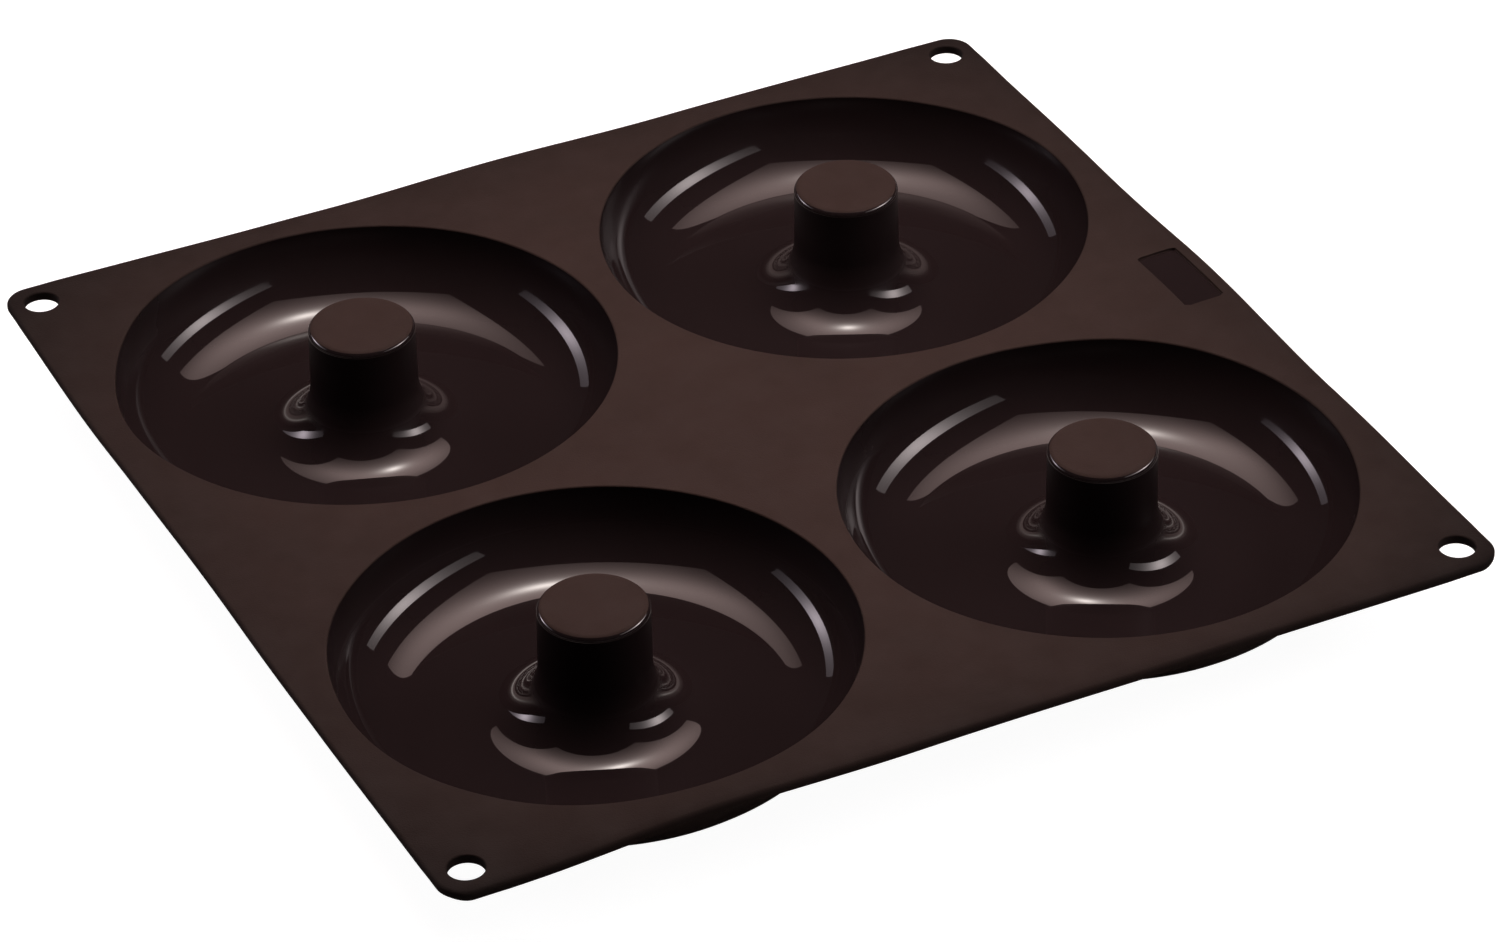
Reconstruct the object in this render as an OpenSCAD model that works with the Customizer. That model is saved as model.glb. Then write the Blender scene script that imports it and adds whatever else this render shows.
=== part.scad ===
// Flexible baking mould for ring-shaped rolls: one moulded piece of silicone.
// A flat square sheet carries a square grid of ring-shaped pans, each with a hollow post in its middle.
// The origin is at the middle of the support plane, below the centre of the sheet, and +Z is up.

/* [Sheet] */
// Width of the rim of sheet outside the mouths of the pans
rim_w = 7.25; // [6:0.25:14]
// Width of the web of sheet between the mouths of two neighbouring pans
web_w = 7.5; // [5:0.5:14]
// Radius of the sheet's corners, seen from above
corner_r = 8; // [4:0.5:12]
// Thickness of the sheet
sheet_t = 2.2; // [1.8:0.1:3]
// Radius that rounds the sheet's outer edge, above and below
edge_round = 0.8; // [0.3:0.1:0.8]

/* [Pans] */
// Radius of a pan's mouth at the top of the sheet
mouth_r = 57; // [50:0.5:62]
// Depth of the flat ring floor below the top of the sheet
pan_depth = 18; // [18:0.5:26]
// Radius of the curve from the ring floor up to the mouth
wall_curve = 18; // [10:0.5:18]
// Wall thickness of the pans and of the posts
wall_t = 2; // [1.4:0.1:2.6]
// Radius that breaks the sharp edge of each mouth
mouth_round = 0.4; // [0.2:0.1:0.8]
// Radius of the fillet between a pan's outside and the underside of the sheet
root_fillet = 1; // [0.4:0.1:1.4]

/* [Posts] */
// Radius of a post at its top
post_r = 12.1; // [10:0.1:14]
// Height of a post above the top of the sheet
post_rise = 9.5; // [4:0.5:14]
// Radius of the curve that flares a post out into the ring floor
flare_curve = 13; // [6:0.5:15]
// Angle by which a post widens towards its foot, in degrees
post_draft = 0.5; // [0.2:0.1:2]
// Radius that rounds the top edge of a post
post_round = 1; // [0.4:0.1:1.8]

/* [Hanging holes] */
// Diameter of the hanging hole in each corner
hole_d = 8; // [5:0.5:9]
// Distance from the sides of the sheet to the centre of a hanging hole
hole_inset = 7.2; // [6.5:0.1:9]
// Radius that breaks the upper edge of a hanging hole
hole_round = 0.4; // [0.2:0.1:0.8]

/* [Label recess] */
// Length of the shallow bare recess, along the side of the sheet
label_len = 23; // [10:1:30]
// Width of the recess
label_w = 10; // [6:0.5:12]
// Depth of the recess
label_depth = 0.6; // [0.2:0.1:0.8]
// Distance from the side of the sheet to the middle of the recess
label_inset = 8.2; // [7.5:0.1:12]
// Distance of the recess from the middle of the side, along the side
label_shift = 1; // [-10:1:10]
// Radius of the corners of the recess
label_corner = 0.6; // [0.3:0.1:1.5]

/* [Hidden] */
$fn = 144;
silicone = "#3b2a27";
spare = 1;                                   // how far a cut runs past what it cuts
turns = [0:90:270];                          // the four sides and corners of the sheet

// Distance between the centres of neighbouring pans, and the whole side of the square sheet, 250
pitch = 2 * mouth_r + web_w;
side = pitch + 2 * (mouth_r + rim_w);
pan_places = [[-1, -1], [1, -1], [1, 1], [-1, 1]] * pitch / 2;

// Heights above the support plane
top_z = pan_depth + wall_t;                  // top of the sheet
under_z = top_z - sheet_t;                   // underside of the sheet
floor_z = wall_t;                            // ring floor, inside a pan
post_top = top_z + post_rise;

// Centres of the two curves of a pan's section, seen as [distance from the axis, height]
wall_centre = [mouth_r - wall_curve, floor_z + wall_curve];
flare_height = floor_z + flare_curve;
flare_centre = [post_side(flare_height) + flare_curve / cos(post_draft), flare_height];
round_height = post_top - post_round;
round_centre = [post_side(round_height) - post_round / cos(post_draft), round_height];

// Radii about the wall curve's centre of the pan's outside, and of the two small roundings beside the wall
outside_r = wall_curve + wall_t;
fillet_reach = outside_r + root_fillet;
mouth_reach = wall_curve + mouth_round;
fillet_centre = beside_wall(fillet_reach, under_z - root_fillet);
mouth_centre = beside_wall(mouth_reach, top_z - mouth_round);

// Distance of a post's side from its axis, at a height
function post_side(height) = post_r + (post_top - height) * tan(post_draft);

// Unit vector that points squarely out of a post's side, in the section
function post_normal() = [cos(post_draft), sin(post_draft)];

// Place beside the wall, at a height, for the centre of a rounding that is tangent to the wall
function beside_wall(reach, height) =
    [wall_centre.x + sqrt(pow(reach, 2) - pow(min(height - wall_centre.y, 0), 2)), height];

// Height at which a rounding meets the wall curve of a given radius
function meeting_height(radius, reach, height) =
    height < wall_centre.y ? wall_centre.y + (height - wall_centre.y) * radius / reach : height;

// Rectangle between two corners
module box_2d(low, high) {
    translate(low) square(high - low);
}

// Square outline with round corners, drawn in by a margin on every side
module sheet_outline(margin) {
    reach = side / 2 - margin;
    straight = side / 2 - corner_r;
    box_2d([-reach, -straight], [reach, straight]);
    box_2d([-straight, -reach], [straight, reach]);
    for (turn = turns) rotate(turn) translate([straight, straight]) circle(corner_r - margin);
}

// Half-round bead along one side of the sheet, and round the corner that follows it
module edge_bead() {
    straight = side / 2 - corner_r;
    reach = side / 2 - edge_round;
    translate([reach, -straight, 0]) rotate([-90, 0, 0]) cylinder(r = edge_round, h = 2 * straight);
    translate([straight, straight, 0]) rotate_extrude(angle = 90)
        translate([corner_r - edge_round, 0]) circle(edge_round);
}

// The flat sheet, with both of its outer edges rounded
module sheet() {
    translate([0, 0, under_z]) linear_extrude(sheet_t) sheet_outline(edge_round);
    translate([0, 0, under_z + edge_round]) linear_extrude(sheet_t - 2 * edge_round) sheet_outline(0);
    for (height = [under_z + edge_round, top_z - edge_round], turn = turns)
        translate([0, 0, height]) rotate(turn) edge_bead();
}

// Section of the ring-shaped space between post and wall, grown outwards by a margin.
// With no margin it is the space that takes the dough, and with the wall thickness it is the pan's outside.
module ring_section(margin, height) {
    flare_foot = flare_centre - (flare_curve + margin) * post_normal();
    side_top = post_side(height) - margin / cos(post_draft);
    low = floor_z - margin;
    wide = mouth_r + margin;
    box_2d([flare_centre.x, low], [wall_centre.x, height]);
    polygon([flare_foot, flare_centre, [flare_centre.x, height], [side_top, height]]);
    intersection() {
        translate(flare_centre) circle(flare_curve + margin);
        box_2d([0, low], flare_centre);
    }
    intersection() {
        translate(wall_centre) circle(wall_curve + margin);
        box_2d([wall_centre.x, low], [wide, min(wall_centre.y, height)]);
    }
    if (wall_centre.y < height) box_2d(wall_centre, [wide, height]);
}

// Section of a post from the flare up to its rounded top, without its bore
module post_section() {
    round_foot = round_centre + post_round * post_normal();
    foot = [post_side(flare_height), flare_height];
    polygon([[0, flare_height], foot, round_foot, round_centre, [round_centre.x, post_top], [0, post_top]]);
    intersection() {
        translate(round_centre) circle(post_round);
        box_2d(round_centre, [post_r + spare, post_top]);
    }
}

// Section of the hollow inside a post, one wall thickness in from its side and top
module bore_section() {
    bore_top = post_top - wall_t;
    foot_side = post_side(0) - wall_t / cos(post_draft);
    top_side = post_side(bore_top) - wall_t / cos(post_draft);
    polygon([[0, 0], [foot_side, 0], [top_side, bore_top], [0, bore_top]]);
}

// Section of the fillet that joins a pan's outside to the underside of the sheet
module fillet_section() {
    foot = meeting_height(outside_r, fillet_reach, fillet_centre.y);
    difference() {
        box_2d([mouth_r, foot], [fillet_centre.x, under_z + edge_round]);
        translate(fillet_centre) circle(root_fillet);
    }
}

// Section of what a pan's mouth loses where its sharp edge is broken
module mouth_edge_section() {
    foot = meeting_height(wall_curve, mouth_reach, mouth_centre.y);
    difference() {
        box_2d([wall_centre.x, foot], [mouth_centre.x, top_z + spare]);
        translate(mouth_centre) circle(mouth_round);
    }
}

// One ring-shaped pan with its hollow post, about its own axis
module pan() {
    rotate_extrude() difference() {
        union() {
            ring_section(wall_t, top_z);
            post_section();
            fillet_section();
        }
        ring_section(0, top_z + spare);
        bore_section();
        mouth_edge_section();
    }
}

// What a pan takes out of the sheet, from below to above, as far as the middle of the pan's wall
module mouth_cut() {
    reach = mouth_r + max(wall_t / 2, mouth_round);
    translate([0, 0, under_z - spare]) cylinder(r = reach, h = sheet_t + 2 * spare);
}

// A hanging hole with its upper edge broken by a small radius
module hole_cut() {
    edge = [hole_d / 2 + hole_round, top_z - hole_round];
    translate([0, 0, under_z - spare]) cylinder(d = hole_d, h = sheet_t + 2 * spare);
    rotate_extrude() difference() {
        box_2d([0, edge.y], [edge.x, top_z + spare]);
        translate(edge) circle(hole_round);
    }
}

// The shallow recess near the middle of one side
module label_cut() {
    half = [label_w, label_len] / 2;
    inner = half - [label_corner, label_corner];
    translate([side / 2 - label_inset, label_shift, top_z - label_depth]) linear_extrude(label_depth + spare) {
        box_2d([-half.x, -inner.y], [half.x, inner.y]);
        box_2d([-inner.x, -half.y], [inner.x, half.y]);
        for (x = [-inner.x, inner.x], y = [-inner.y, inner.y]) translate([x, y]) circle(label_corner);
    }
}

// The whole mould: the sheet with its openings, and a pan hung in each mouth
module mould() {
    hole_place = side / 2 - hole_inset;
    color(silicone) {
        difference() {
            sheet();
            for (place = pan_places) translate(place) mouth_cut();
            for (turn = turns) rotate(turn) translate([hole_place, hole_place]) hole_cut();
            label_cut();
        }
        for (place = pan_places) translate(place) pan();
    }
}

mould();
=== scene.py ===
"""Looks of the silicone mould: its skin and finishes, the pale floor, the studio lights and the camera."""

import math

import bpy
import numpy as np
from mathutils import Matrix, Vector
from mathutils.geometry import delaunay_2d_cdt


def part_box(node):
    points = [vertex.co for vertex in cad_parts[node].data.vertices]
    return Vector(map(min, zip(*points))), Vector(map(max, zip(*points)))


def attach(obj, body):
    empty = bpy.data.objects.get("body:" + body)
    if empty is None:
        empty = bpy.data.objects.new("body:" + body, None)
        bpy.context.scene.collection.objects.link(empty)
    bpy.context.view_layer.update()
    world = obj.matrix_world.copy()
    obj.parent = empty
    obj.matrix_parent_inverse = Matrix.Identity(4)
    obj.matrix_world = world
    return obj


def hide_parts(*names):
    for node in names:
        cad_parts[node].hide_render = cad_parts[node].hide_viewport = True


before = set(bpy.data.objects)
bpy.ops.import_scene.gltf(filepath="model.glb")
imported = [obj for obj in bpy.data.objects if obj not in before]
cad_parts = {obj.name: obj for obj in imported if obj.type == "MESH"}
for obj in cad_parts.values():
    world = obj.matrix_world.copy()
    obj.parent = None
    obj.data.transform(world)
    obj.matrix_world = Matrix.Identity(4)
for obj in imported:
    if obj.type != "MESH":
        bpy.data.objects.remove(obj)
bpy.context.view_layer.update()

MM = 0.001

# Sizes of the mould in millimetres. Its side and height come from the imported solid.
LOW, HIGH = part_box("mould")
HALF_SIDE = (HIGH.x - LOW.x) / 2 / MM
POST_TOP = HIGH.z / MM
SHEET_T = 2.2
EDGE_ROUND = 0.8
PITCH = 121.5
MOUTH_R = 57
PAN_DEPTH = 18
WALL_CURVE = 18
WALL_T = 2
MOUTH_ROUND = 0.4
ROOT_FILLET = 1
POST_R = 12.1
FLARE_CURVE = 13
POST_DRAFT = math.radians(0.5)
HOLE_R = 4
HOLE_INSET = 7.2
HOLE_ROUND = 0.4
LABEL_HALF = (5, 11.5)
LABEL_DEPTH = 0.6
LABEL_INSET = 8.2
LABEL_SHIFT = 1
LABEL_CORNER = 0.6

# The sheet's corners are a little sharper here than in the solid, and the posts' top edges a little rounder
CORNER_R = 6
POST_ROUND = 1.4

# Small breaks that let light catch the edges which the solid has sharp
EDGE_BREAK = 0.15
BORE_BREAK = 0.6

# Heights above the support plane, in millimetres
TOP_Z = PAN_DEPTH + WALL_T
UNDER_Z = TOP_Z - SHEET_T
FLOOR_Z = WALL_T
BORE_TOP = POST_TOP - WALL_T

# Signs of the four corners, from the front left one, anticlockwise as seen from above. Pans and holes, and
# whatever is given for each of them, are listed in the same order.
CORNERS = ((-1, -1), (1, -1), (1, 1), (-1, 1))
PAN_PLACES = [(x * PITCH / 2, y * PITCH / 2) for x, y in CORNERS]
HOLE_OFFSET = HALF_SIDE - HOLE_INSET
HOLE_PLACES = [(x * HOLE_OFFSET, y * HOLE_OFFSET) for x, y in CORNERS]
LABEL_PLACE = (HALF_SIDE - LABEL_INSET, LABEL_SHIFT)

# How many parts a full turn, a side or a quarter turn is divided into
PAN_TURNS = 144
HOLE_TURNS = 48
SIDE_STEPS = 60
CORNER_STEPS = 12
LABEL_SIDE_STEPS = 12
LABEL_CORNER_STEPS = 6

# Angles between neighbouring points of an arc: inside a pan, under it, on the edge of a post's top, on other
# rounded edges, and on breaks
ARC_STEP = math.radians(2.5)
UNDER_STEP = 3 * ARC_STEP
TOP_STEP = math.radians(5)
ROUND_STEP = math.radians(15)
BREAK_STEP = math.radians(30)

# How many rings of faces lie across a pan's floor, up a post's side, and on each of them underneath
FLOOR_RINGS = 8
SIDE_RINGS = 6
UNDER_RINGS = 4

# Shares of the radius at which a post's top and the top of its bore have a ring of points, or a middle point
TOP_SHARES = (0.75, 0.5, 0.25, 0)
BORE_SHARES = (0.5, 0)

# Width of the strip along the sheet's edge that is drawn finer, and the share of it where it is divided
BORDER = 2.4
BORDER_SHARE = 0.66

# Distances between the points inside the flat regions, and how near an edge they may lie, as a share of them
FILL_SPACING = 4
UNDER_SPACING = 1.5 * FILL_SPACING
LABEL_SPACING = 1
FILL_MARGIN = 0.55

# Distances in millimetres below which a point is on its axis, or two points are the same
ON_AXIS = 1e-6
SAME_POINT = 1e-7

MATTE, GLOSS, POST, RIM, UNDER = range(5)

# Upward part of a post's normal from which its rounded top edge is matte
MATTE_FROM = 0.77

# How much higher each pan's floor lies than where its wall would touch it smoothly, which leaves a crease
FLOOR_LIFTS = [0.3, 0.42, 0.6, 0.45]
CREASE_WIDTH = 0.35

# How the soft mould lies: a place, how far round it the sheet follows, and by how much it is pulled there
PULLS = [
    ((-120, -120), 60, (1.3, 0, -1.2)),
    ((-120, 120), 60, (0, 0, 1.2)),
    ((120, -120), 60, (0, 0, -0.5)),
    ((120, 120), 60, (0, -1.1, 1)),
    ((-62, -124), 44, (0, 0.3, 0.7)),
    ((0, -124), 44, (0, 0.1, 0.3)),
    ((124, -62), 44, (0, 0, 0.6)),
    ((124, 0), 52, (0, 0, 2.2)),
    ((124, 62), 44, (0, 0, 1.2)),
    ((62, 124), 44, (0, 0, 0.4)),
    ((0, 124), 44, (0, 0, 0.9)),
    ((-62, 124), 44, (0, 0, 0.4)),
    ((-124, 78), 40, (0.4, 0, -1.9)),
    ((-124, 0), 44, (0.6, 0, -0.4)),
    ((-124, -62), 44, (1, 0, -1.7)),
]

# Each hanging hole is pulled inwards with the sheet round it
HOLE_PULL = 0.55
HOLE_PULL_REACH = 10

# The mould starts to follow the pulls at this distance from the nearest pan's axis, and follows them fully
# this much further out
PULL_START = 26
PULL_RISE = 14

# The front edge of the sheet turns down a little
LIP_DROP = 0.9
LIP_WIDTH = 3

# How far the foot of each post lies from its pan's axis. The mould moves with it up to this distance from
# the axis, and not at all this much further out.
FOOT_SHIFTS = [(-0.75, -0.95), (0.85, -0.3), (0.5, -0.25), (-1.05, -0.45)]
FOOT_REACH = 27
FOOT_FADE = 10

# How much further the top of each post leans, with the same two distances for the lean
LEANS = [(0.55, 0.35), (0.15, 0.15), (0.85, 1.45), (0.75, 1)]
LEAN_REACH = 14
LEAN_FADE = 14

# Distance in millimetres over which the stretch of the settled shape is measured
STRETCH_STEP = 0.01

# Refractive index of silicone
SILICONE_IOR = 1.41

# Most values of a noise lie between these
NOISE_LOW = 0.3
NOISE_HIGH = 0.7

# Waves per metre, detail and roughness of the noise in the silicone's colour, and of the one in its gloss
CLOUD_WAVES = 45
CLOUD_DETAIL = 7
CLOUD_ROUGHNESS = 0.75
SMEAR_WAVES = 130
SMEAR_DETAIL = 3

# Detail of the noise in the silicone's grain and in its slow wave
GRAIN_DETAIL = 2
WAVE_DETAIL = 0

# Specular levels of a hazed silicone where it is clear and where it is dullest
CLEAR_SPECULAR = 0.5
DULL_SPECULAR = 0.04

# What the finishes that shine share
SHINY = {
    "dark": (0.0136, 0.0091, 0.0096),
    "light": (0.0154, 0.0103, 0.0108),
    "roughness": (0.01, 0.025),
    "grain": (900, 0.0000003),
    "wave": (55, 0.00002),
}

# The floor, in metres
FLOOR_HALF = 8
FLOOR_GAP = 0.0002
FLOOR_GREY = 0.3
FLOOR_ROUGHNESS = 0.8
FLOOR_GLOW = 0.96

# The dark room that lights the mould, and the pale backdrop that the camera sees
ROOM_LIGHT = 0.012
BACKDROP = (0.93, 0.95, 0.96)

# Tints of the softboxes: warm overhead and whiter in its middle, cool at the left, mild at the right
WARM = (1, 0.74, 0.7)
WHITE = (1, 0.92, 0.87)
COOL = (1, 0.87, 0.96)
MILD = (1, 0.88, 0.88)

# Camera, found from the photograph: angles in degrees and distances in millimetres
VIEW_AZIMUTH = -25.525
VIEW_ELEVATION = 34.464
VIEW_ROLL = -1.631
VIEW_DISTANCE = 1336.3
VIEW_RIGHT = 5.244
VIEW_UP = -11.129
LENS = 144.43
SENSOR = 36

# Nearest and farthest distances that the camera sees, in metres
CLIP_START = 0.05
CLIP_END = 50


def post_side(height):
    """Distance of a post's side from its axis, at a height."""
    return POST_R + (POST_TOP - height) * math.tan(POST_DRAFT)


def beside_wall(reach, height):
    """Centre of a rounding that is tangent to the wall, at a height, in a pan's section."""
    drop = min(height - WALL_CENTRE[1], 0)
    return WALL_CENTRE[0] + math.sqrt(reach ** 2 - drop ** 2), height


# Centres of the arcs in a pan's section, as distance from the axis and height
WALL_CENTRE = (MOUTH_R - WALL_CURVE, FLOOR_Z + WALL_CURVE)
FLARE_HEIGHT = FLOOR_Z + FLARE_CURVE
FLARE_CENTRE = (post_side(FLARE_HEIGHT) + FLARE_CURVE / math.cos(POST_DRAFT), FLARE_HEIGHT)
ROUND_HEIGHT = POST_TOP - POST_ROUND
ROUND_CENTRE = (post_side(ROUND_HEIGHT) - POST_ROUND / math.cos(POST_DRAFT), ROUND_HEIGHT)
MOUTH_CENTRE = beside_wall(WALL_CURVE + MOUTH_ROUND, TOP_Z - MOUTH_ROUND)
FILLET_CENTRE = beside_wall(WALL_CURVE + WALL_T + ROOT_FILLET, UNDER_Z - ROOT_FILLET)


def arc(centre, radius, start, end, facing=1, step=ARC_STEP):
    """Points of an arc in a section, as (across, height, normal across, normal height).
    The angles are in radians from the across direction, and facing is -1 where the arc is hollow."""
    count = max(2, math.ceil(abs(end - start) / step))
    points = []
    for i in range(count + 1):
        angle = start + (end - start) * i / count
        across, up = math.cos(angle), math.sin(angle)
        points.append((centre[0] + radius * across, centre[1] + radius * up, facing * across, facing * up))
    return points


def line(start, end, count):
    """Points strictly between two section points, with the normal turning evenly from one to the other."""
    points = []
    for i in range(1, count):
        part = i / count
        points.append(tuple(a + (b - a) * part for a, b in zip(start, end)))
    return points


def inside_section(lift):
    """Section of a pan's inside, from the top of the sheet to the middle of the post's top, with finishes.
    The finishes are those of the faces between neighbouring points, so there is one fewer."""
    floor = FLOOR_Z + lift
    lean = math.atan2(MOUTH_CENTRE[1] - WALL_CENTRE[1], MOUTH_CENTRE[0] - WALL_CENTRE[0])
    mouth = arc(MOUTH_CENTRE, MOUTH_ROUND, math.pi / 2, math.pi + lean, step=ROUND_STEP)
    wall_end = -math.asin((WALL_CENTRE[1] - floor) / WALL_CURVE)
    wall = arc(WALL_CENTRE, WALL_CURVE, lean, wall_end, facing=-1)
    flare_centre = (FLARE_CENTRE[0], FLARE_CENTRE[1] + lift)
    flare = arc(flare_centre, FLARE_CURVE, -math.pi / 2, -math.pi + POST_DRAFT, facing=-1)
    top = arc(ROUND_CENTRE, POST_ROUND, POST_DRAFT, math.pi / 2, step=TOP_STEP)
    disc = [(ROUND_CENTRE[0] * share, POST_TOP, 0, 1) for share in TOP_SHARES]
    outer = (wall[-1][0] - CREASE_WIDTH, floor, 0, 1)
    points = list(mouth)
    finishes = [MATTE] * (len(mouth) - 1)
    points += wall[1:] + [outer] + line(outer, flare[0], FLOOR_RINGS) + flare[:1]
    finishes += [GLOSS] * (len(points) - 1 - len(finishes))
    points += flare[1:] + line(flare[-1], top[0], SIDE_RINGS) + top[:1]
    finishes += [POST] * (len(points) - 1 - len(finishes))
    points += [point for point in top[1:] if point[3] < MATTE_FROM]
    finishes += [RIM] * (len(points) - 1 - len(finishes))
    points += [point for point in top if point[3] >= MATTE_FROM] + disc
    finishes += [MATTE] * (len(points) - 1 - len(finishes))
    return points, finishes


def outside_section():
    """Section of a pan's underside, from the underside of the sheet to the top of the bore in the post."""
    lean = math.atan2(FILLET_CENTRE[1] - WALL_CENTRE[1], FILLET_CENTRE[0] - WALL_CENTRE[0])
    fillet = arc(FILLET_CENTRE, ROOT_FILLET, math.pi / 2, math.pi + lean, facing=-1, step=ROUND_STEP)
    wall = arc(WALL_CENTRE, WALL_CURVE + WALL_T, lean, -math.pi / 2, step=UNDER_STEP)
    flare = arc(FLARE_CENTRE, FLARE_CURVE + WALL_T, -math.pi / 2, -math.pi + POST_DRAFT, step=UNDER_STEP)
    corner_height = BORE_TOP - BORE_BREAK
    corner_side = post_side(corner_height) - (WALL_T + BORE_BREAK) / math.cos(POST_DRAFT)
    corner = arc((corner_side, corner_height), BORE_BREAK, POST_DRAFT, math.pi / 2, facing=-1,
                 step=BREAK_STEP)
    disc = [(corner_side * share, BORE_TOP, 0, -1) for share in BORE_SHARES]
    points = fillet + wall[1:] + line(wall[-1], flare[0], UNDER_RINGS) + flare
    points += line(flare[-1], corner[0], UNDER_RINGS) + corner + disc
    return points, [UNDER] * (len(points) - 1)


class Skin:
    """The mould's surface: vertices with their exact normals, and faces with the finish of each."""

    def __init__(self):
        self.points = []
        self.normals = []
        self.faces = []
        self.finishes = []

    def add(self, points, normals):
        """Adds vertices and returns their numbers."""
        start = len(self.points)
        self.points += points
        self.normals += normals
        return list(range(start, len(self.points)))

    def face(self, corners, finish):
        """Adds a face between vertices that are given by their numbers."""
        self.faces.append(tuple(corners))
        self.finishes.append(finish)

    def band(self, first, second, finish):
        """Joins two closed loops by a strip of faces. A loop of one vertex is the tip of a fan."""
        count = len(first)
        for i in range(count):
            j = (i + 1) % count
            if len(second) == 1:
                self.face((first[i], first[j], second[0]), finish)
            else:
                self.face((first[i], first[j], second[j], second[i]), finish)

    def lathe(self, place, section, finishes, turns):
        """Turns a section about an upright axis and returns its first and last loops."""
        around = [(math.cos(a), math.sin(a)) for a in (2 * math.pi * i / turns for i in range(turns))]
        loops = []
        for across, height, out, up in section:
            if across < ON_AXIS:
                loops.append(self.add([(place[0], place[1], height)], [(0, 0, up)]))
                continue
            ring = [(place[0] + across * c, place[1] + across * s, height) for c, s in around]
            loops.append(self.add(ring, [(out * c, out * s, up) for c, s in around]))
        for first, second, finish in zip(loops, loops[1:], finishes):
            self.band(first, second, finish)
        return loops[0], loops[-1]

    def sweep(self, outline, section, finish):
        """Carries a section round an outline and returns its first and last loops.
        The section's first number is how far out from the outline it is."""
        loops = []
        for reach, height, out, up in section:
            ring = outline(reach)
            loops.append(self.add([(x, y, height) for x, y, _, _ in ring],
                                  [(out * nx, out * ny, up) for _, _, nx, ny in ring]))
        for first, second in zip(loops, loops[1:]):
            self.band(first, second, finish)
        return loops[0], loops[-1]

    def fill(self, loops, height, up, finish, clearance, spacing):
        """Fills a flat region between closed loops with even triangles.
        clearance gives how far inside the region a point is."""
        numbers = [n for loop in loops for n in loop]
        flat = [Vector(self.points[n][:2]) for n in numbers]
        edges = []
        start = 0
        for loop in loops:
            edges += [(start + i, start + (i + 1) % len(loop)) for i in range(len(loop))]
            start += len(loop)
        low = [min(p[i] for p in flat) for i in range(2)]
        high = [max(p[i] for p in flat) for i in range(2)]
        row_step = spacing * math.sqrt(3) / 2
        for row in range(math.ceil((high[1] - low[1]) / row_step)):
            for column in range(math.ceil((high[0] - low[0]) / spacing)):
                x = low[0] + (column + 0.5 * (row % 2)) * spacing
                y = low[1] + row * row_step
                if clearance(x, y) > FILL_MARGIN * spacing:
                    flat.append(Vector((x, y)))
        verts, _, faces, origins, _, _ = delaunay_2d_cdt(flat, edges, [], 0, SAME_POINT)
        place = {}
        for i, origin in enumerate(origins):
            known = [numbers[o] for o in origin if o < len(numbers)]
            place[i] = known[0] if known else None
        for face in faces:
            x, y = (sum(verts[i][axis] for i in face) / 3 for axis in range(2))
            if clearance(x, y) <= 0:
                continue
            for i in face:
                if place[i] is None:
                    place[i] = self.add([(verts[i].x, verts[i].y, height)], [(0, 0, up)])[0]
            self.face([place[i] for i in face], finish)


def rounded_outline(half, corner, place, side_steps, corner_steps):
    """Outline of a rounded rectangle as a function of how far out from it the loop runs.
    Each item is (x, y, normal x, normal y)."""
    def outline(reach):
        ring = []
        radius = corner + reach
        for quarter, (sx, sy) in enumerate(((1, 1), (-1, 1), (-1, -1), (1, -1))):
            centre = (sx * (half[0] - corner), sy * (half[1] - corner))
            for i in range(corner_steps + 1):
                angle = (quarter + i / corner_steps) * math.pi / 2
                nx, ny = math.cos(angle), math.sin(angle)
                ring.append((place[0] + centre[0] + radius * nx, place[1] + centre[1] + radius * ny, nx, ny))
            start = ring[-1]
            along = (-start[3], start[2])
            length = 2 * ((half[0] - corner) if quarter % 2 == 0 else (half[1] - corner))
            for i in range(1, side_steps):
                shift = length * i / side_steps
                ring.append((start[0] + along[0] * shift, start[1] + along[1] * shift, start[2], start[3]))
        return ring
    return outline


def rounded_distance(x, y, half, corner, place):
    """How far inside a rounded rectangle a point is."""
    dx = abs(x - place[0]) - half[0] + corner
    dy = abs(y - place[1]) - half[1] + corner
    return corner - math.hypot(max(dx, 0), max(dy, 0)) - min(max(dx, dy), 0)


def label_distance(x, y):
    """How far inside the bare recess a point is."""
    return rounded_distance(x, y, LABEL_HALF, LABEL_CORNER, LABEL_PLACE)


def sheet_clearance(edge, mouth, hole, label):
    """Distance to the nearest edge of the sheet's flat, inside it, for the given radii of its openings."""
    def clearance(x, y):
        found = rounded_distance(x, y, (HALF_SIDE - edge, HALF_SIDE - edge), CORNER_R - edge, (0, 0))
        found = min([found] + [math.hypot(x - px, y - py) - mouth for px, py in PAN_PLACES])
        found = min([found] + [math.hypot(x - px, y - py) - hole for px, py in HOLE_PLACES])
        if label:
            found = min(found, label - label_distance(x, y))
        return found
    return clearance


def edge_section():
    """Section of the sheet's border and its rounded outer edge, from its top to its underside."""
    border = [(-BORDER * share, TOP_Z, 0, 1) for share in (1, BORDER_SHARE)]
    high = arc((-EDGE_ROUND, TOP_Z - EDGE_ROUND), EDGE_ROUND, math.pi / 2, 0, step=ROUND_STEP)
    low = arc((-EDGE_ROUND, UNDER_Z + EDGE_ROUND), EDGE_ROUND, 0, -math.pi / 2, step=ROUND_STEP)
    return border + high + low


def hole_section():
    """Section of a hanging hole, from the top of the sheet to its underside."""
    high = arc((HOLE_R + HOLE_ROUND, TOP_Z - HOLE_ROUND), HOLE_ROUND, math.pi / 2, math.pi, step=ROUND_STEP)
    low = arc((HOLE_R + EDGE_BREAK, UNDER_Z + EDGE_BREAK), EDGE_BREAK, math.pi, 1.5 * math.pi,
              step=BREAK_STEP)
    return high + low


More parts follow.
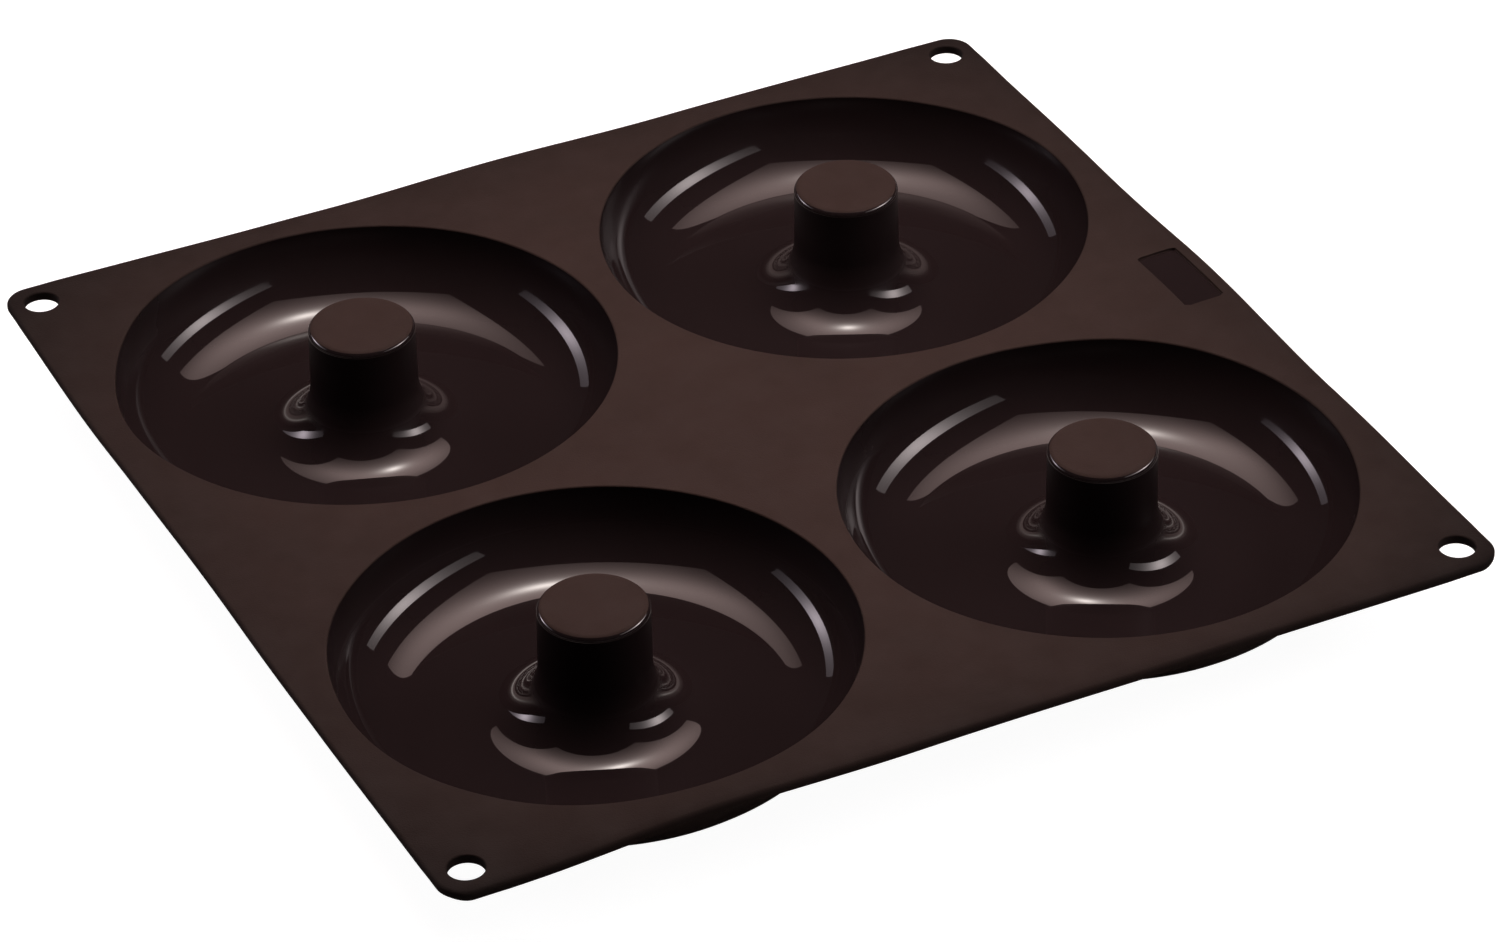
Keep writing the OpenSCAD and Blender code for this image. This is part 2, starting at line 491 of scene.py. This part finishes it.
def label_section():
    """Section of the side of the bare recess, from the top of the sheet down to its floor."""
    high = arc((EDGE_BREAK, TOP_Z - EDGE_BREAK), EDGE_BREAK, math.pi / 2, math.pi, step=BREAK_STEP)
    low = arc((-EDGE_BREAK, TOP_Z - LABEL_DEPTH + EDGE_BREAK), EDGE_BREAK, 0, -math.pi / 2, facing=-1,
              step=BREAK_STEP)
    return high + low


def build_skin():
    """The whole surface of the mould as one closed skin."""
    skin = Skin()
    outside, outside_finishes = outside_section()
    top_loops = []
    under_loops = []
    for place, lift in zip(PAN_PLACES, FLOOR_LIFTS):
        inside, inside_finishes = inside_section(lift)
        top_loops.append(skin.lathe(place, inside, inside_finishes, PAN_TURNS)[0])
        under_loops.append(skin.lathe(place, outside, outside_finishes, PAN_TURNS)[0])
    hole = hole_section()
    for place in HOLE_PLACES:
        first, last = skin.lathe(place, hole, [MATTE] * (len(hole) - 1), HOLE_TURNS)
        top_loops.append(first)
        under_loops.append(last)
    outline = rounded_outline((HALF_SIDE, HALF_SIDE), CORNER_R, (0, 0), SIDE_STEPS, CORNER_STEPS)
    first, last = skin.sweep(outline, edge_section(), MATTE)
    top_loops.append(first)
    under_loops.append(last)
    outline = rounded_outline(LABEL_HALF, LABEL_CORNER, LABEL_PLACE, LABEL_SIDE_STEPS, LABEL_CORNER_STEPS)
    first, last = skin.sweep(outline, label_section(), MATTE)
    top_loops.append(first)
    skin.fill([last], TOP_Z - LABEL_DEPTH, 1, RIM,
              lambda x, y: label_distance(x, y) - EDGE_BREAK, LABEL_SPACING)
    skin.fill(top_loops, TOP_Z, 1, MATTE,
              sheet_clearance(BORDER, MOUTH_CENTRE[0], HOLE_R + HOLE_ROUND, EDGE_BREAK), FILL_SPACING)
    skin.fill(under_loops, UNDER_Z, -1, UNDER,
              sheet_clearance(EDGE_ROUND, FILLET_CENTRE[0], HOLE_R + EDGE_BREAK, None), UNDER_SPACING)
    return skin


def smooth(value):
    """Rises smoothly from 0 to 1 as the value does."""
    value = np.clip(value, 0, 1)
    return value * value * (3 - 2 * value)


def settle(points):
    """How far each point of the ideal shape moves in the soft mould as it lies, in millimetres."""
    x, y, z = points.T
    shift = np.zeros_like(points)
    axis_distance = np.min([np.hypot(x - px, y - py) for px, py in PAN_PLACES], axis=0)
    sheet = smooth((z - FLOOR_Z) / (UNDER_Z - FLOOR_Z)) * smooth((axis_distance - PULL_START) / PULL_RISE)
    pulls = list(PULLS)
    for px, py in HOLE_PLACES:
        inwards = (-math.copysign(HOLE_PULL, px), -math.copysign(HOLE_PULL, py), 0)
        pulls.append(((px, py), HOLE_PULL_REACH, inwards))
    for (px, py), reach, pull in pulls:
        nearness = np.clip(1 - ((x - px) ** 2 + (y - py) ** 2) / reach ** 2, 0, 1) ** 2
        shift += (nearness * sheet)[:, None] * np.array(pull)
    lip = np.clip(1 - (y + HALF_SIDE) / LIP_WIDTH, 0, 1) ** 2
    shift[:, 2] -= LIP_DROP * lip * sheet
    rise = smooth((z - FLOOR_Z) / (POST_TOP - FLOOR_Z))
    for (px, py), foot, lean in zip(PAN_PLACES, FOOT_SHIFTS, LEANS):
        away = np.hypot(x - px, y - py)
        shift[:, :2] += (1 - smooth((away - FOOT_REACH) / FOOT_FADE))[:, None] * np.array(foot)
        shift[:, :2] += (rise * (1 - smooth((away - LEAN_REACH) / LEAN_FADE)))[:, None] * np.array(lean)
    return shift


def settled(points, normals):
    """The points and normals of the mould as it lies. The normals turn with the stretch round each point."""
    shift = settle(points)
    slopes = [(settle(points + STRETCH_STEP * axis) - shift) / STRETCH_STEP for axis in np.eye(3)]
    stretch = np.stack(slopes, axis=2) + np.eye(3)
    turned = np.einsum("nji,nj->ni", np.linalg.inv(stretch), normals)
    moved = points + shift
    moved[:, :2] = np.clip(moved[:, :2], -HALF_SIDE, HALF_SIDE)
    return moved, turned / np.linalg.norm(turned, axis=1, keepdims=True)


def skin_object(skin, materials):
    """Turns a skin into a mesh object with its exact normals and its finishes."""
    points, normals = settled(np.array(skin.points), np.array(skin.normals))
    faces = []
    for face in skin.faces:
        corners = points[list(face)]
        turned = np.cross(corners[1] - corners[0], corners[2] - corners[0])
        if len(face) == 4:
            turned = np.cross(corners[2] - corners[0], corners[3] - corners[1])
        faces.append(face if turned @ normals[list(face)].sum(axis=0) > 0 else face[::-1])
    mesh = bpy.data.meshes.new("mould_skin")
    mesh.from_pydata([tuple(p) for p in points * MM], [], faces)
    for material in materials:
        mesh.materials.append(material)
    mesh.polygons.foreach_set("material_index", skin.finishes)
    mesh.polygons.foreach_set("use_smooth", [True] * len(faces))
    mesh.normals_split_custom_set_from_vertices([tuple(n) for n in normals])
    mesh.update()
    piece = bpy.data.objects.new("mould_skin", mesh)
    bpy.context.scene.collection.objects.link(piece)
    return piece


def feed(links, given, socket):
    """Sets a socket to a fixed value, or links it to what another node gives."""
    if isinstance(given, bpy.types.NodeSocket):
        links.new(given, socket)
    else:
        socket.default_value = given


def opaque(colour):
    """A colour with full cover."""
    return (*colour, 1)


def new_material(name):
    """An empty node material, with its nodes, its links and its main shader."""
    material = bpy.data.materials.new(name)
    material.use_nodes = True
    nodes = material.node_tree.nodes
    return material, nodes, material.node_tree.links, nodes["Principled BSDF"]


def noise(nodes, links, coordinates, waves, detail, roughness=0.5):
    """Noise with a size in waves per metre."""
    node = nodes.new("ShaderNodeTexNoise")
    node.inputs["Scale"].default_value = waves
    node.inputs["Detail"].default_value = detail
    node.inputs["Roughness"].default_value = roughness
    links.new(coordinates, node.inputs["Vector"])
    return node.outputs["Fac"]


def map_range(nodes, links, value, low, high, from_low=NOISE_LOW, from_high=NOISE_HIGH):
    """Maps a value from one range to another. It is taken as a noise where no first range is given."""
    node = nodes.new("ShaderNodeMapRange")
    node.inputs["From Min"].default_value = from_low
    node.inputs["From Max"].default_value = from_high
    node.inputs["To Min"].default_value = low
    node.inputs["To Max"].default_value = high
    links.new(value, node.inputs["Value"])
    return node.outputs["Result"]


def mix_colour(nodes, links, factor, first, second):
    """Mixes two colours by a factor. Each is fixed or comes from another node."""
    node = nodes.new("ShaderNodeMix")
    node.data_type = "RGBA"
    factor_socket, first_socket, second_socket = (node.inputs[i] for i in (0, 6, 7))
    links.new(factor, factor_socket)
    feed(links, first, first_socket)
    feed(links, second, second_socket)
    return node.outputs[2]


def math_node(nodes, links, operation, value, other):
    """The result of a sum of one kind. The second value is fixed or comes from another node."""
    node = nodes.new("ShaderNodeMath")
    node.operation = operation
    links.new(value, node.inputs[0])
    feed(links, other, node.inputs[1])
    return node.outputs[0]


def vector_node(nodes, links, operation, vector, other=None, scale=None):
    """The result of a vector sum of one kind. Each of its inputs is fixed or comes from another node."""
    node = nodes.new("ShaderNodeVectorMath")
    node.operation = operation
    feed(links, vector, node.inputs[0])
    if other is not None:
        feed(links, other, node.inputs[1])
    if scale is not None:
        feed(links, scale, node.inputs["Scale"])
    return node.outputs["Value" if operation == "DOT_PRODUCT" else "Vector"]


def bump(nodes, links, height, depth, under=None):
    """Bump from a height that runs from 0 to 1, with its depth in metres, on top of another bump."""
    node = nodes.new("ShaderNodeBump")
    node.inputs["Strength"].default_value = 1
    node.inputs["Distance"].default_value = depth
    links.new(height, node.inputs["Height"])
    if under is not None:
        links.new(under, node.inputs["Normal"])
    return node.outputs["Normal"]


def separate(nodes, links, coordinates):
    """The three parts of a place."""
    node = nodes.new("ShaderNodeSeparateXYZ")
    links.new(coordinates, node.inputs[0])
    return node.outputs


def silicone(name, dark, light, roughness, grain, wave, specular=None, haze=None, painted_edge_shade=None):
    """Silicone with a slightly uneven colour and roughness, a fine grain and a slow wave in its surface.
    grain and wave are (waves per metre, depth in metres), and specular is the level where there is no haze.
    haze is (height in millimetres where a gloss starts to dull, height where it is dull, roughness that is
    added there, share of it that is left in the far pan).
    The last argument gives painted shade: the share of the colour that is darkened towards black halfway
    along the sheet's sides, and more at its corners, standing in for the light falling off there."""
    material, nodes, links, shader = new_material(name)
    coordinates = nodes.new("ShaderNodeTexCoord").outputs["Object"]
    across, along, height = separate(nodes, links, coordinates)
    cloud = noise(nodes, links, coordinates, CLOUD_WAVES, CLOUD_DETAIL, CLOUD_ROUGHNESS)
    colour = mix_colour(nodes, links, map_range(nodes, links, cloud, 0, 1), opaque(dark), opaque(light))
    # Painted shade: the colour darkens towards black towards the sheet's sides, and more at its corners, in
    # place of light that falls off there
    if painted_edge_shade:
        fourth = []
        for part in (across, along):
            square = math_node(nodes, links, "MULTIPLY", part, part)
            fourth.append(math_node(nodes, links, "MULTIPLY", square, square))
        edge = math_node(nodes, links, "ADD", fourth[0], fourth[1])
        edge = math_node(nodes, links, "MULTIPLY", edge, painted_edge_shade / (HALF_SIDE * MM) ** 4)
        colour = mix_colour(nodes, links, edge, colour, opaque((0, 0, 0)))
    links.new(colour, shader.inputs["Base Color"])
    smear = map_range(nodes, links, noise(nodes, links, coordinates, SMEAR_WAVES, SMEAR_DETAIL), *roughness)
    if haze:
        clear_height, dull_height, extra_roughness, far_share = haze
        dull = map_range(nodes, links, height, 0, 1, clear_height * MM, dull_height * MM)
        diagonal = math_node(nodes, links, "ADD", across, along)
        share = map_range(nodes, links, diagonal, 1, far_share, -PITCH * MM, PITCH * MM)
        dull = math_node(nodes, links, "MULTIPLY", dull, share)
        extra = math_node(nodes, links, "MULTIPLY", dull, extra_roughness)
        smear = math_node(nodes, links, "ADD", smear, extra)
        level = map_range(nodes, links, dull, CLEAR_SPECULAR, DULL_SPECULAR, 0, 1)
        links.new(level, shader.inputs["Specular IOR Level"])
    else:
        shader.inputs["Specular IOR Level"].default_value = specular
    links.new(smear, shader.inputs["Roughness"])
    slow = bump(nodes, links, noise(nodes, links, coordinates, wave[0], WAVE_DETAIL), wave[1])
    fine = bump(nodes, links, noise(nodes, links, coordinates, grain[0], GRAIN_DETAIL), grain[1], under=slow)
    links.new(fine, shader.inputs["Normal"])
    shader.inputs["IOR"].default_value = SILICONE_IOR
    return material


def mould_materials():
    """The materials of the mould's five finishes, in the order of their numbers."""
    # The matte skin carries painted shade that darkens it towards the sheet's edges and corners
    matte = silicone("silicone_matte", dark=(0.026, 0.0157, 0.0131), light=(0.0322, 0.0194, 0.0164),
                     roughness=(0.78, 0.9), grain=(2600, 0.00008), wave=(60, 0.00004), specular=0.25,
                     painted_edge_shade=0.4)
    gloss = silicone("silicone_gloss", **SHINY, haze=(9.8, 12.5, 0.35, 0.5))
    post = silicone("silicone_post", **SHINY, haze=(7.8, 10.6, 0.4, 0.9))
    rim = silicone("silicone_rim", **SHINY, specular=1)
    under = silicone("silicone_under", dark=(0.027, 0.0175, 0.0145), light=(0.032, 0.021, 0.017),
                     roughness=(0.5, 0.6), grain=(2600, 0.00003), wave=(60, 0.00004), specular=0.3)
    return [matte, gloss, post, rim, under]


def floor_material():
    """Plain pale studio floor, lit up for the camera so that only a faint shadow is left on it."""
    material, nodes, links, shader = new_material("pale_floor")
    shader.inputs["Base Color"].default_value = opaque([FLOOR_GREY] * 3)
    shader.inputs["Roughness"].default_value = FLOOR_ROUGHNESS
    shader.inputs["Specular IOR Level"].default_value = 0
    shader.inputs["Emission Color"].default_value = (1, 1, 1, 1)
    seen = nodes.new("ShaderNodeLightPath").outputs["Is Camera Ray"]
    links.new(math_node(nodes, links, "MULTIPLY", seen, FLOOR_GLOW), shader.inputs["Emission Strength"])
    return material


def add_floor():
    """A wide floor under the mould."""
    mesh = bpy.data.meshes.new("floor")
    mesh.from_pydata([(x * FLOOR_HALF, y * FLOOR_HALF, 0) for x, y in CORNERS], [], [(0, 1, 2, 3)])
    mesh.materials.append(floor_material())
    floor = bpy.data.objects.new("floor", mesh)
    bpy.context.scene.collection.objects.link(floor)
    floor.location.z = LOW.z - FLOOR_GAP


def view_axes():
    """The camera's right, up and backward directions."""
    azimuth, elevation, roll = (math.radians(a) for a in (VIEW_AZIMUTH, VIEW_ELEVATION, VIEW_ROLL))
    back = Vector((math.sin(azimuth) * math.cos(elevation), -math.cos(azimuth) * math.cos(elevation),
                   math.sin(elevation)))
    level = Vector((0, 0, 1)).cross(back).normalized()
    rise = back.cross(level)
    right = math.cos(roll) * level + math.sin(roll) * rise
    return right, back.cross(right), back


def placed(centre, axes):
    """The matrix of an object whose own axes point along the given ones."""
    return Matrix.Translation(centre) @ Matrix(axes).transposed().to_4x4()


def add_camera():
    """The camera, at the photograph's viewing angle."""
    right, up, back = view_axes()
    data = bpy.data.cameras.new("camera")
    data.lens = LENS
    data.sensor_width = SENSOR
    data.clip_start = CLIP_START
    data.clip_end = CLIP_END
    camera = bpy.data.objects.new("camera", data)
    bpy.context.scene.collection.objects.link(camera)
    target = Vector((0, 0, TOP_Z)) + VIEW_RIGHT * right + VIEW_UP * up
    camera.matrix_world = placed((target + VIEW_DISTANCE * back) * MM, (right, up, back))
    bpy.context.scene.camera = camera


def studio(right, away, rise):
    """A direction or place given along the camera's right, away from it and upwards."""
    azimuth = math.radians(VIEW_AZIMUTH)
    across = Vector((math.cos(azimuth), math.sin(azimuth), 0))
    ahead = Vector((-math.sin(azimuth), math.cos(azimuth), 0))
    return right * across + away * ahead + rise * Vector((0, 0, 1))


def add_softbox(name, place, along, across, size, lobes):
    """A rectangular softbox whose light falls off from its brighter middle.
    Places are in metres from the middle of the sheet, and along and across are the directions of its edges.
    Each lobe is (its middle, its radiance there, the radius at which a quarter is left, its tint)."""
    data = bpy.data.lights.new(name, "AREA")
    data.shape = "RECTANGLE"
    data.size, data.size_y = size
    # With this energy, the strength of the emission below is a radiance
    data.energy = math.pi * size[0] * size[1]
    data.use_nodes = True
    nodes, links = data.node_tree.nodes, data.node_tree.links
    position = nodes.new("ShaderNodeNewGeometry").outputs["Position"]
    middle_of_sheet = Vector((0, 0, TOP_Z * MM))
    total = None
    for middle, radiance, radius, tint in lobes:
        away = vector_node(nodes, links, "SUBTRACT", position, studio(*middle) + middle_of_sheet)
        away = vector_node(nodes, links, "SCALE", away, scale=1 / radius)
        square = vector_node(nodes, links, "DOT_PRODUCT", away, away)
        fall = math_node(nodes, links, "ADD", square, 1)
        fall = math_node(nodes, links, "POWER", fall, -2)
        fall = math_node(nodes, links, "MULTIPLY", fall, radiance)
        glow = vector_node(nodes, links, "SCALE", tint, scale=fall)
        total = glow if total is None else vector_node(nodes, links, "ADD", total, glow)
    links.new(total, nodes["Emission"].inputs["Color"])
    nodes["Emission"].inputs["Strength"].default_value = 1
    light = bpy.data.objects.new(name, data)
    bpy.context.scene.collection.objects.link(light)
    first = studio(*along).normalized()
    second = studio(*across)
    second = (second - second.dot(first) * first).normalized()
    facing = first.cross(second)
    centre = studio(*place) + middle_of_sheet
    # An area light shines against its third axis, so that one has to point away from the sheet
    if facing.dot(centre) < 0:
        first = -first
        facing = -facing
    light.matrix_world = placed(centre, (first, second, facing))
    light.visible_camera = False


def add_room():
    """A dark room for the mould, which the camera sees as a pale backdrop."""
    world = bpy.data.worlds.new("studio")
    bpy.context.scene.world = world
    world.use_nodes = True
    nodes, links = world.node_tree.nodes, world.node_tree.links
    backdrop = nodes.new("ShaderNodeBackground")
    backdrop.inputs["Color"].default_value = opaque(BACKDROP)
    room = nodes["Background"]
    room.inputs["Color"].default_value = (1, 1, 1, 1)
    room.inputs["Strength"].default_value = ROOM_LIGHT
    mixed = nodes.new("ShaderNodeMixShader")
    links.new(nodes.new("ShaderNodeLightPath").outputs["Is Camera Ray"], mixed.inputs[0])
    links.new(room.outputs[0], mixed.inputs[1])
    links.new(backdrop.outputs[0], mixed.inputs[2])
    links.new(mixed.outputs[0], nodes["World Output"].inputs["Surface"])


def add_lights():
    """A large softbox overhead and a long one on each side, in a dark room."""
    add_softbox("softbox_top", (0.004, 0.177, 0.612), (0.997, -0.076, 0.009), (0.077, 0.98, -0.186),
                (0.825, 0.768),
                [((0.115, 0.245, 0.598), 3.9, 0.42, WARM), ((-0.192, 0.173, 0.614), 2.4, 0.28, WARM),
                 ((0.034, 0.14, 0.619), 24, 0.072, WHITE)])
    add_softbox("softbox_left", (-0.747, 0.295, 0.276), (0.271, 0.961, -0.059), (0.173, 0.011, 0.985),
                (0.903, 0.142),
                [((-0.743, 0.305, 0.275), 7.7, 0.2, COOL), ((-0.748, 0.288, 0.276), 0.35, 5, COOL)])
    add_softbox("softbox_right", (0.663, -0.015, 0.39), (-0.194, -0.975, 0.11), (-0.347, 0.173, 0.922),
                (1.02, 0.155),
                [((0.659, 0.045, 0.383), 10, 0.25, MILD), ((0.667, 0.008, 0.387), 0.55, 5, MILD)])
    add_room()


add_camera()
add_lights()
add_floor()

mould = skin_object(build_skin(), mould_materials())
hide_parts("mould")
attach(mould, "root")

bpy.context.scene.view_settings.view_transform = "Standard"
